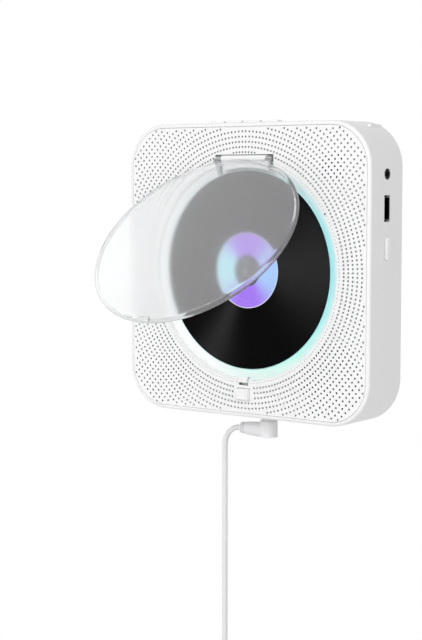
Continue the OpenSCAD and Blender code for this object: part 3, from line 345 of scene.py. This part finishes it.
# Milky white of the frost with a painted white sheen; the right-hand colour also carries painted
# shade
MILK_SHEEN_LEFT = (0.98, 0.985, 0.99, 1)
MILK_SHEEN_SHADED_RIGHT = (0.86, 0.86, 0.87, 1)
RIM_GREY = (0.76, 0.77, 0.78, 1)
EDGE_SHADE_GREY = (0.4, 0.41, 0.42, 1)
FROST, FROST_GRAIN = 0.15, 0.2
RIM_POLISH = 0.8
opened = Matrix.Rotation(-LID_OPEN, 4, "X")
shut_to_open = Matrix.Translation(HINGE) @ opened @ Matrix.Translation(-HINGE)
open_to_shut = shut_to_open.inverted() @ Matrix.Rotation(-pi / 2, 4, "X")
materials["lid_clear"], tree, shader = shader_of("lid_clear")
shut = tree.nodes.new("ShaderNodeMapping")
shut.inputs["Location"].default_value = open_to_shut.translation
shut.inputs["Rotation"].default_value = open_to_shut.to_euler("XYZ")
tree.links.new(object_place(tree), shut.inputs["Vector"])
split = tree.nodes.new("ShaderNodeSeparateXYZ")
tree.links.new(shut.outputs[0], split.inputs[0])
x, y = split.outputs["X"], split.outputs["Y"]
away = maths(tree, "LESS_THAN", y, HINGE_START)
rim = minus(tree, hypotenuse(tree, x, y), RIM_START)
rim = times(tree, maths(tree, "DIVIDE", rim, RIM_SOFT, clamp=True), away)
# Painted shade: the lid's colour turns greyer towards its right.
right_shade = maths(tree, "DIVIDE", minus(tree, x, SHADE_FROM), SHADE_WIDTH, clamp=True)
milk_and_sheen = blend_colours(tree, right_shade, MILK_SHEEN_LEFT, MILK_SHEEN_SHADED_RIGHT)
milk_and_sheen = blend_colours(tree, rim, milk_and_sheen, RIM_GREY)
# Painted shade: faces seen edge-on are coloured a darker grey.
edge_on = tree.nodes.new("ShaderNodeLayerWeight")
edge_on.inputs["Blend"].default_value = 0.5
edge = times(tree, maths(tree, "POWER", edge_on.outputs["Facing"], 4.0), away)
colour = blend_colours(tree, edge, milk_and_sheen, EDGE_SHADE_GREY)
node = use_grain(tree, shader, colour, 0.19, 300, 0.15, 0.02)
frost = add(tree, times(tree, node.outputs["Roughness"], FROST_GRAIN), FROST)
frost = times(tree, frost, minus(tree, 1.0, times(tree, rim, RIM_POLISH)))
tree.links.new(frost, shader.inputs["Roughness"])
shader.inputs["Transmission Weight"].default_value = 0.87
shader.inputs["IOR"].default_value = 1.12
shader.inputs["Coat Weight"].default_value = 0.4
shader.inputs["Coat Roughness"].default_value = 0.05

# %% [markdown]
# The ring round the well is a frosted light guide. It glows cyan at the right, mint at the bottom
# and is almost white at the left and the top. The glow depends on the direction from the disc's
# middle and fades outwards, so both come from Object coordinates.

# %% Light ring
RING_START, RING_WIDTH = 60 * MM, 6.8 * MM
GLOW_RIGHT, GLOW_GAIN = 0.35, 0.9
GLOW_SLOPE, GLOW_TOP = 0.12, 0.45
OUTWARD_LOSS = 0.8
MINT_BELOW, MINT_GAIN = -0.15, 1.3
CYAN = (0.20, 0.62, 0.66, 1)
MINT = (0.38, 0.72, 0.63, 1)
UNLIT = (0.82, 0.835, 0.83, 1)
FAINT_GLOW = (0.10, 0.11, 0.105, 1)


def around_spindle(tree):
    """Gives a point's distance from the spindle, and how far right and up it lies as a direction."""
    split = tree.nodes.new("ShaderNodeSeparateXYZ")
    tree.links.new(object_place(tree), split.inputs[0])
    x, z = split.outputs["X"], split.outputs["Z"]
    radius = hypotenuse(tree, x, z)
    return radius, maths(tree, "DIVIDE", x, radius), maths(tree, "DIVIDE", z, radius)


materials["ring_glow"], tree, shader = shader_of("ring_glow")
radius, across, up = around_spindle(tree)
lit = times(tree, add(tree, across, GLOW_RIGHT), GLOW_GAIN)
lit = minus(tree, lit, times(tree, up, GLOW_SLOPE))
upper = times(tree, maths(tree, "MAXIMUM", up, 0.0), GLOW_TOP)
lit = minus(tree, lit, upper, clamp=True)
outward = maths(tree, "DIVIDE", minus(tree, radius, RING_START), RING_WIDTH, clamp=True)
lit = times(tree, lit, minus(tree, 1.0, times(tree, outward, OUTWARD_LOSS)), clamp=True)
mint = times(tree, minus(tree, MINT_BELOW, up), MINT_GAIN, clamp=True)
tint = blend_colours(tree, mint, CYAN, MINT)
use_grain(tree, shader, blend_colours(tree, lit, UNLIT, tint), 0.4, 1500, 0.3, 0.02)
tree.links.new(blend_colours(tree, lit, FAINT_GLOW, tint), shader.inputs["Emission Color"])
shader.inputs["Emission Strength"].default_value = 0.38

# %% [markdown]
# The disc has a black face printed like a record, with fine grooves, and a plain label whose colour
# drifts between violet and pale blue. Two soft fans of painted reflection lie on the black face, with
# a faint ripple along the grooves. The direction from the middle gives the painted reflections and
# the drift, and the distance gives the grooves, the label and its thin white edge. The disc's own rim
# is painted in the ring's cyan and given a painted glow, standing for the ring's light in the clear
# rim.

# %% Disc finish
LABEL_EDGE, LABEL_LINE = 22.8 * MM, 0.4 * MM
HUB_EDGE = 9.5 * MM
GLOWING_RIM = 59.85 * MM
GROOVE_PITCH, GROOVE_BUMP = 1.1 * MM, 0.004 * MM
GROOVE_SHEEN_SWING = 0.12
GROOVE_SHEEN_LEVEL = 0.9
# Painted reflection on the black face: each fan's direction in degrees and sharpness, and its grey
WIDE_REFLECTION = (6, 5.0)
NARROW_REFLECTION = (-117, 40.0)
NARROW_REFLECTION_SHARE = 0.9
DARK, REFLECTION_GREY = (0.0012, 0.0012, 0.0013, 1), (0.026, 0.026, 0.027, 1)
LABEL_LEFT, LABEL_RIGHT = (0.46, 0.84, 0.95, 1), (0.40, 0.60, 0.93, 1)
LABEL_VIOLET, LINE_WHITE = (0.38, 0.20, 0.87, 1), (0.8, 0.82, 0.9, 1)
RIM_PAINTED_LIGHT, RIM_PAINTED_GLOW = (0.5, 0.76, 0.78, 1), (0.4, 0.7, 0.72, 1)
HUB_GREY = (0.09, 0.09, 0.1, 1)


def ramp(tree, value, low, high):
    node = tree.nodes.new("ShaderNodeMapRange")
    node.interpolation_type = "SMOOTHSTEP"
    node.inputs["From Min"].default_value = low
    node.inputs["From Max"].default_value = high
    tree.links.new(value, node.inputs["Value"])
    return node.outputs[0]


def reflection_fan(tree, across, up, degrees_up, sharpness):
    """A painted reflection: a fan of light from the middle in one direction, narrower with a higher
    sharpness.
    """
    direction = radians(degrees_up)
    towards = add(tree, times(tree, across, cos(direction)), times(tree, up, sin(direction)))
    return maths(tree, "POWER", maths(tree, "MAXIMUM", towards, 0.0), sharpness)


materials["disc_mirror"], tree, shader = shader_of("disc_mirror")
radius, across, up = around_spindle(tree)
groove = maths(tree, "SINE", times(tree, radius, 2 * pi / GROOVE_PITCH))
# Painted reflection: two fans of lighter grey on the black face.
narrow_reflection = times(tree, reflection_fan(tree, across, up, *NARROW_REFLECTION), NARROW_REFLECTION_SHARE)
painted_reflection = add(tree, reflection_fan(tree, across, up, *WIDE_REFLECTION), narrow_reflection)
painted_reflection = times(tree, painted_reflection, add(tree, times(tree, groove, GROOVE_SHEEN_SWING), GROOVE_SHEEN_LEVEL), clamp=True)
black = blend_colours(tree, painted_reflection, DARK, REFLECTION_GREY)
# Painted light: past this radius the rim is coloured the ring's cyan.
on_glowing_rim = maths(tree, "GREATER_THAN", radius, GLOWING_RIM)
black = blend_colours(tree, on_glowing_rim, black, RIM_PAINTED_LIGHT)
sides = blend_colours(tree, ramp(tree, across, -0.6, 0.6), LABEL_LEFT, LABEL_RIGHT)
upright = ramp(tree, maths(tree, "POWER", up, 2.0), 0.02, 0.95)
label = blend_colours(tree, upright, sides, LABEL_VIOLET)
on_line = maths(tree, "GREATER_THAN", radius, LABEL_EDGE - LABEL_LINE)
label = blend_colours(tree, on_line, label, LINE_WHITE)
on_label = maths(tree, "GREATER_THAN", LABEL_EDGE, radius)
colour = blend_colours(tree, on_label, black, label)
colour = blend_colours(tree, maths(tree, "GREATER_THAN", HUB_EDGE, radius), colour, HUB_GREY)
use_grain(tree, shader, colour, 0.3, 900, 0.1, 0.02)
shader.inputs["Specular IOR Level"].default_value = 0.03
# Painted glow: the disc's rim gives off the ring's cyan light.
tree.links.new(blend_colours(tree, on_glowing_rim, (0, 0, 0, 1), RIM_PAINTED_GLOW), shader.inputs["Emission Color"])
shader.inputs["Emission Strength"].default_value = 0.35
add_bump(tree, shader, times(tree, groove, minus(tree, 1.0, on_label)), GROOVE_BUMP)

# %% [markdown]
# ## The cord
# A soft white lead 3.5 mm thick leaves the angled plug to the left, turns down and hangs. The length
# that the picture doesn't show is wound into a coil of six turns below the view: three go inwards,
# and three come out again in a second layer that lies on the first. The points repeat the route of
# the solids.

# %% Cord route
CORD = 3.5
CORD_PLANE = 18
LAYER = 4
TURNS = 6
STEP = 4
CROSSING = 0.5
COIL_MIDDLE = (-0.4, -272)
COIL_REACH = 27
POINTS_PER_TURN = 24
HANG_X = -27.4
bend = [(-14.4, -98.9), (-16, -98.9), (-20.2, -99.8), (-24, -102.4), (-26.5, -106.3)]
drop = [-110.9] + [-119 - 9 * i for i in range(16)] + [-262, -268.5]
route = [(x, y, CORD_PLANE) for x, y in bend + [(HANG_X, y) for y in drop]]
for i in range(POINTS_PER_TURN * TURNS + 1):
    turn = i / POINTS_PER_TURN
    reach = COIL_REACH - STEP * min(turn, TURNS - turn)
    risen = min(1, max(0, (turn - TURNS / 2 + CROSSING / 2) / CROSSING))
    angle = 2 * pi * turn
    route.append((COIL_MIDDLE[0] - reach * cos(angle), COIL_MIDDLE[1] - reach * sin(angle),
        CORD_PLANE + LAYER * risen))
route += [(HANG_X, y, CORD_PLANE + LAYER) for y in (-275.5, -282, -288)]
route = [PLACE @ Vector(p) for p in route]

# %% [markdown]
# A curve with a round section carries the lead along that route. It takes the place of the two cord
# solids, and both plugs and the tie belong to it.

# %% Cord piece
cord_curve = bpy.data.curves.new("power_lead", "CURVE")
cord_curve.dimensions = "3D"
cord_curve.bevel_depth = CORD * MM / 2
cord_curve.bevel_resolution = 4
cord_curve.use_fill_caps = True
spline = cord_curve.splines.new("POLY")
spline.points.add(len(route) - 1)
for point, place in zip(spline.points, route):
    point.co = (*place, 1)
cord = bpy.data.objects.new("power_lead", cord_curve)
bpy.context.scene.collection.objects.link(cord)
cord_curve.materials.append(materials["cord_white"])
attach(cord, "plug")
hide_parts("power_cord", "cord_coil")
near_plug = merged_copy("power_plug", 0.08, segments=2)
far_plug = merged_copy("usb_plug", 0.4)

# %% [markdown]
# ## The perforated skin
# The skin is a thin white sheet with 200 holes in each ring round the disc. It is a square with
# round corners, open over the well, the hinge, the latch and the release button. Near those edges
# and cut-outs it stays plain. Each cut-out and each plain area round it is given by half its width,
# its bottom and its top.

# %% Skin measures
FRONT = 36
SKIN_BACK = 35.4
SKIN_HALF = 86.4
SKIN_CORNER = 24.4
OPENING = 66.6
BAY = (21.5, 55, 69.8)
LATCH = (3.5, -69.6, -64.4)
BUTTON = (4.7, -78.8, -71.2)
PLAIN = ((BAY[0] + 1, 0, BAY[2] + 0.9), (LATCH[0] + 1.4, -74, 0),
    (BUTTON[0] + 1.6, BUTTON[1] - 0.6, BUTTON[2] + 3))
HOLES_PER_RING = 200
HOLE_ANGLE = 2 * pi / HOLES_PER_RING
FIRST_RING = 71.2
RING_PITCH = 3.1
RING_COUNT = 14
FIRST_EDGE = FIRST_RING - RING_PITCH / 2
HOLE_RADIUS = 0.66
SMALL_HOLE_RADIUS = 0.3
HOLE_INSET = 0.3
HOLE_EDGE = 85.3
HOLE_CORNER = SKIN_CORNER - 1.6
steps_out = [OPENING] + [FIRST_EDGE + RING_PITCH * i for i in range(RING_COUNT + 1)]


def in_area(x, y, area, margin=0):
    half, low, top = area
    return abs(x) < half + margin and low - margin < y < top + margin


def has_hole(x, y):
    """Says whether the sheet is open at this hole's place: not at its rim nor by its cut-outs."""
    straight = HOLE_EDGE - HOLE_CORNER
    past = hypot(max(0, abs(x) - straight), max(0, abs(y) - straight))
    return past < HOLE_CORNER and not any(in_area(x, y, area) for area in PLAIN)


# %% [markdown]
# Cutting sixteen hundred holes with booleans is slow, so the sheet starts as a polar grid with one
# cell for each hole: one row of edges is spun round the spindle.

# %% Polar grid
def spin_round(bm, geom, steps):
    bmesh.ops.spin(bm, geom=geom, cent=(0, 0, 0), axis=(0, 0, 1), dvec=(0, 0, 0), angle=2 * pi,
        steps=steps, use_merge=True, use_normal_flip=False, use_duplicate=False)


skin = bmesh.new()
row = [skin.verts.new((r, 0, 0)) for r in steps_out]
row_edges = [skin.edges.new(pair) for pair in zip(row, row[1:])]
spin_round(skin, row + row_edges, HOLES_PER_RING)
print("cells in the sheet:", len(skin.faces))

# %% [markdown]
# The cells that carry a hole are inset, which leaves a small four-sided face inside each. That face
# goes, its edges are cut in three, and the twelve points move onto a circle. Their place in the
# polar grid says which hole is theirs. The row of cells next to the opening has smaller holes.

# %% Round holes
INNER_SLACK, OUTER_SLACK = 0.1, 0.01
cells = [face for face in skin.faces if has_hole(*face.calc_center_median().xy)]
bmesh.ops.inset_individual(skin, faces=cells, thickness=HOLE_INSET, depth=0, use_even_offset=True)
bmesh.ops.delete(skin, geom=cells, context="FACES_ONLY")


def on_hole(v):
    """True for a border point of a hole, false on the opening and on the sheet's outer edge."""
    return OPENING + INNER_SLACK < v.co.length < steps_out[-1] - OUTER_SLACK


rims = [edge for edge in skin.edges if edge.is_boundary and all(map(on_hole, edge.verts))]
bmesh.ops.subdivide_edges(skin, edges=rims, cuts=2)
rim_points = {v for edge in skin.edges if edge.is_boundary for v in edge.verts if on_hole(v)}
for v in rim_points:
    ring = int((v.co.length - FIRST_EDGE) // RING_PITCH)
    angle = (atan2(v.co.y, v.co.x) // HOLE_ANGLE + 0.5) * HOLE_ANGLE
    r = FIRST_RING + RING_PITCH * ring
    hole = SMALL_HOLE_RADIUS if ring < 0 else HOLE_RADIUS
    outward = Vector((cos(angle), sin(angle), 0))
    sideways = Vector((-sin(angle), cos(angle), 0))
    middle = r * outward
    across = (v.co - middle).dot(outward) / (RING_PITCH / 2 - HOLE_INSET)
    along = (v.co - middle).dot(sideways) / (r * sin(HOLE_ANGLE / 2) - HOLE_INSET)
    v.co = middle + (across * outward + along * sideways).normalized() * hole
print("holes in the skin:", len(cells))

# %% [markdown]
# The outline is a square with round corners. It is convex, so a cut along each of its edges that
# clears what lies outside gives it exactly. The three cut-outs are cut the same way, near them only.

# %% Outline and cut-outs
CORNER_STEPS = 12
CUT_REACH = 3
CUT_SLACK = 0.0001


def corner_arc(cx, cy, start):
    angles = [radians(start + 90 * i / CORNER_STEPS) for i in range(CORNER_STEPS + 1)]
    return [Vector((cx + SKIN_CORNER * cos(a), cy + SKIN_CORNER * sin(a), 0)) for a in angles]


def cut(bm, faces, point, normal, clear=False):
    """Cuts the faces along a line, and clears what lies beyond it if asked to."""
    edges = dict.fromkeys(edge for face in faces for edge in face.edges)
    verts = dict.fromkeys(vert for face in faces for vert in face.verts)
    geom = [*faces, *edges, *verts]
    bmesh.ops.bisect_plane(bm, geom=geom, dist=CUT_SLACK, plane_co=point, plane_no=normal,
        clear_outer=clear)


def faces_in(bm, area, margin=0):
    return [face for face in bm.faces if in_area(*face.calc_center_median().xy, area, margin)]


c = SKIN_HALF - SKIN_CORNER
outline = [p for cx, cy, start in ((c, c, 0), (-c, c, 90), (-c, -c, 180), (c, -c, 270))
           for p in corner_arc(cx, cy, start)]
for a, b in zip(outline, outline[1:] + outline[:1]):
    cut(skin, skin.faces[:], a, Vector((b.y - a.y, a.x - b.x, 0)), clear=True)
for area in (BAY, LATCH, BUTTON):
    half, low, top = area
    for point, normal in (((-half, 0, 0), (1, 0, 0)), ((half, 0, 0), (1, 0, 0)),
                          ((0, low, 0), (0, 1, 0)), ((0, top, 0), (0, 1, 0))):
        cut(skin, faces_in(skin, area, CUT_REACH), point, normal)
    bmesh.ops.delete(skin, geom=faces_in(skin, area), context="FACES")
print("faces after the cuts:", len(skin.faces))

# %% [markdown]
# Last, the flat sheet is extruded to its thickness and moved to the front of the case.

# %% Skin thickness
sheet = bmesh.ops.extrude_face_region(skin, geom=skin.faces[:])
raised = [v for v in sheet["geom"] if isinstance(v, bmesh.types.BMVert)]
bmesh.ops.translate(skin, vec=(0, 0, FRONT - SKIN_BACK), verts=raised)
bmesh.ops.translate(skin, vec=(0, 0, SKIN_BACK), verts=skin.verts)
drawn_piece(skin, "perforated_skin", "grille_skin")

# %% [markdown]
# ## The disc
# The disc is turned from its section: a 1.2 mm body with a rounded edge, a stacking ring, and a label
# area that is a hair's breadth higher than the black face.

# %% Disc
LOW = 31.5
TOP = LOW + 1.2
LABEL_TOP = TOP + 0.03
DISC_STEPS = 180
section = [(7.5, LOW + 0.15), (7.65, LOW), (16.6, LOW), (17.1, LOW - 0.03), (17.6, LOW), (59.8, LOW),
    (60, LOW + 0.2), (60, TOP - 0.2), (59.8, TOP), (23.0, TOP), (22.8, LABEL_TOP), (17.6, LABEL_TOP),
    (17.4, TOP - 0.02), (17.0, TOP - 0.02), (16.8, LABEL_TOP), (9.7, LABEL_TOP), (9.5, TOP),
    (7.65, TOP), (7.5, TOP - 0.15)]
disc = bmesh.new()
points = [disc.verts.new((r, 0, h)) for r, h in section]
point_edges = [disc.edges.new(pair) for pair in zip(points, points[1:] + points[:1])]
spin_round(disc, points + point_edges, DISC_STEPS)
drawn_piece(disc, "printed_disc", "disc")

# %% [markdown]
# ## Dressed solids
# The solids that show most get a merged, smoothly shaded copy with their edges slightly broken, since
# a moulded edge is never sharp. The number is the width of the broken edge in millimetres. The other
# solids take their material as they are.

# %% Dressed solids
DRESSED = {"side_frame": 0.25, "front_panel": 0.15, "light_ring": 0.12, "disc_tray": 0.2,
    "hinge_block": 0.3, "rear_cover": 0.3, "lid": 0.12, "turntable": 0.15, "latch_slider": 0.12,
    "power_knob": 0.4, "headphone_socket": 0.12, "usb_socket": 0.06, "key_1": 0.5, "key_2": 0.5,
    "key_3": 0.5, "key_4": 0.5, "release_button": 0.7, "wall_bracket": 0.2}
dressed = {name: merged_copy(name, width) for name, width in DRESSED.items()}
replaced = {"grille_skin", "disc", "power_cord", "cord_coil", "power_plug", "usb_plug", *DRESSED}
for name, obj in nodes.items():
    if name not in replaced:
        obj.data.materials.clear()
        obj.data.materials.append(materials[slot_of[name]])
print("solids shown as they are:", len(nodes) - len(replaced))

# %% [markdown]
# Two dressed pieces are adjusted to the photo. The tray under the disc is white, so no dark line
# shows round the disc. The inner lip of the light ring comes closer to the disc's edge.

# %% Tray and ring lip
dressed["disc_tray"].data.materials[0] = materials["tray_white"]
LIP_FROM, LIP_TO = 61.7 * MM, 60.25 * MM
for v in dressed["light_ring"].data.vertices:
    r = hypot(v.co.x, v.co.z)
    if r < LIP_FROM:
        v.co.x *= LIP_TO / r
        v.co.z *= LIP_TO / r

# %% [markdown]
# ## Light and surroundings
# The player stands before white paper. The camera sees the paper white, and so do the rays in gloss
# and clear plastic. All other rays get a weaker plain fill, which leaves the soft shadows.

# %% World
FILL = 0.46


def sees_paper(tree):
    """One for the rays that see white paper: the camera's, and those in gloss and clear plastic."""
    ray = tree.nodes.new("ShaderNodeLightPath")
    clear = maths(tree, "MAXIMUM", ray.outputs["Is Camera Ray"], ray.outputs["Is Transmission Ray"])
    return maths(tree, "MAXIMUM", clear, ray.outputs["Is Glossy Ray"])


def choose(tree, plain, paper, surface):
    """Shows a surface as paper to the rays that see paper, and plain to the others."""
    mix = tree.nodes.new("ShaderNodeMixShader")
    for output, socket in zip((sees_paper(tree), plain, paper), mix.inputs):
        tree.links.new(output, socket)
    tree.links.new(mix.outputs[0], surface)


def background(tree, strength):
    node = tree.nodes.new("ShaderNodeBackground")
    node.inputs["Color"].default_value = (1, 1, 1, 1)
    node.inputs["Strength"].default_value = strength
    return node.outputs[0]


world = bpy.data.worlds.new("studio")
bpy.context.scene.world = world
world.use_nodes = True
tree = world.node_tree
tree.nodes.clear()
sky = tree.nodes.new("ShaderNodeOutputWorld")
choose(tree, background(tree, FILL), background(tree, 1.0), sky.inputs["Surface"])

# %% [markdown]
# A large soft key light stands in front, high and a little to the left. A weaker one lights the
# right side. Both look at the player.

# %% Lamps
def area_lamp(name, place, size, power):
    data = bpy.data.lights.new(name, "AREA")
    data.shape = "SQUARE"
    data.size = size
    data.energy = power
    lamp = bpy.data.objects.new(name, data)
    lamp.location = place
    lamp.rotation_euler = (-Vector(place)).to_track_quat("-Z", "Y").to_euler()
    bpy.context.scene.collection.objects.link(lamp)


area_lamp("key", (-0.15, -1.7, 0.85), 1.2, 18.5)
area_lamp("side_fill", (1.4, -0.5, 0.5), 0.8, 4.5)

# %% [markdown]
# The floor is white paper below the coil. It is part of the studio and not of the player.

# %% Floor
FLOOR_Z = -0.36
FLOOR_HALF = 6.0
corners = [(x * FLOOR_HALF, y * FLOOR_HALF, FLOOR_Z) for x, y in ((-1, -1), (1, -1), (1, 1), (-1, 1))]
floor_mesh = bpy.data.meshes.new("floor")
floor_mesh.from_pydata(corners, [], [(0, 1, 2, 3)])
floor = bpy.data.objects.new("floor", floor_mesh)
bpy.context.scene.collection.objects.link(floor)
floor_material, tree, shader = shader_of("floor_paper")
shader.inputs["Base Color"].default_value = (0.9, 0.9, 0.9, 1)
shader.inputs["Roughness"].default_value = 0.9
paper = tree.nodes.new("ShaderNodeEmission")
surface = tree.nodes["Material Output"].inputs["Surface"]
choose(tree, shader.outputs[0], paper.outputs[0], surface)
floor_mesh.materials.append(floor_material)
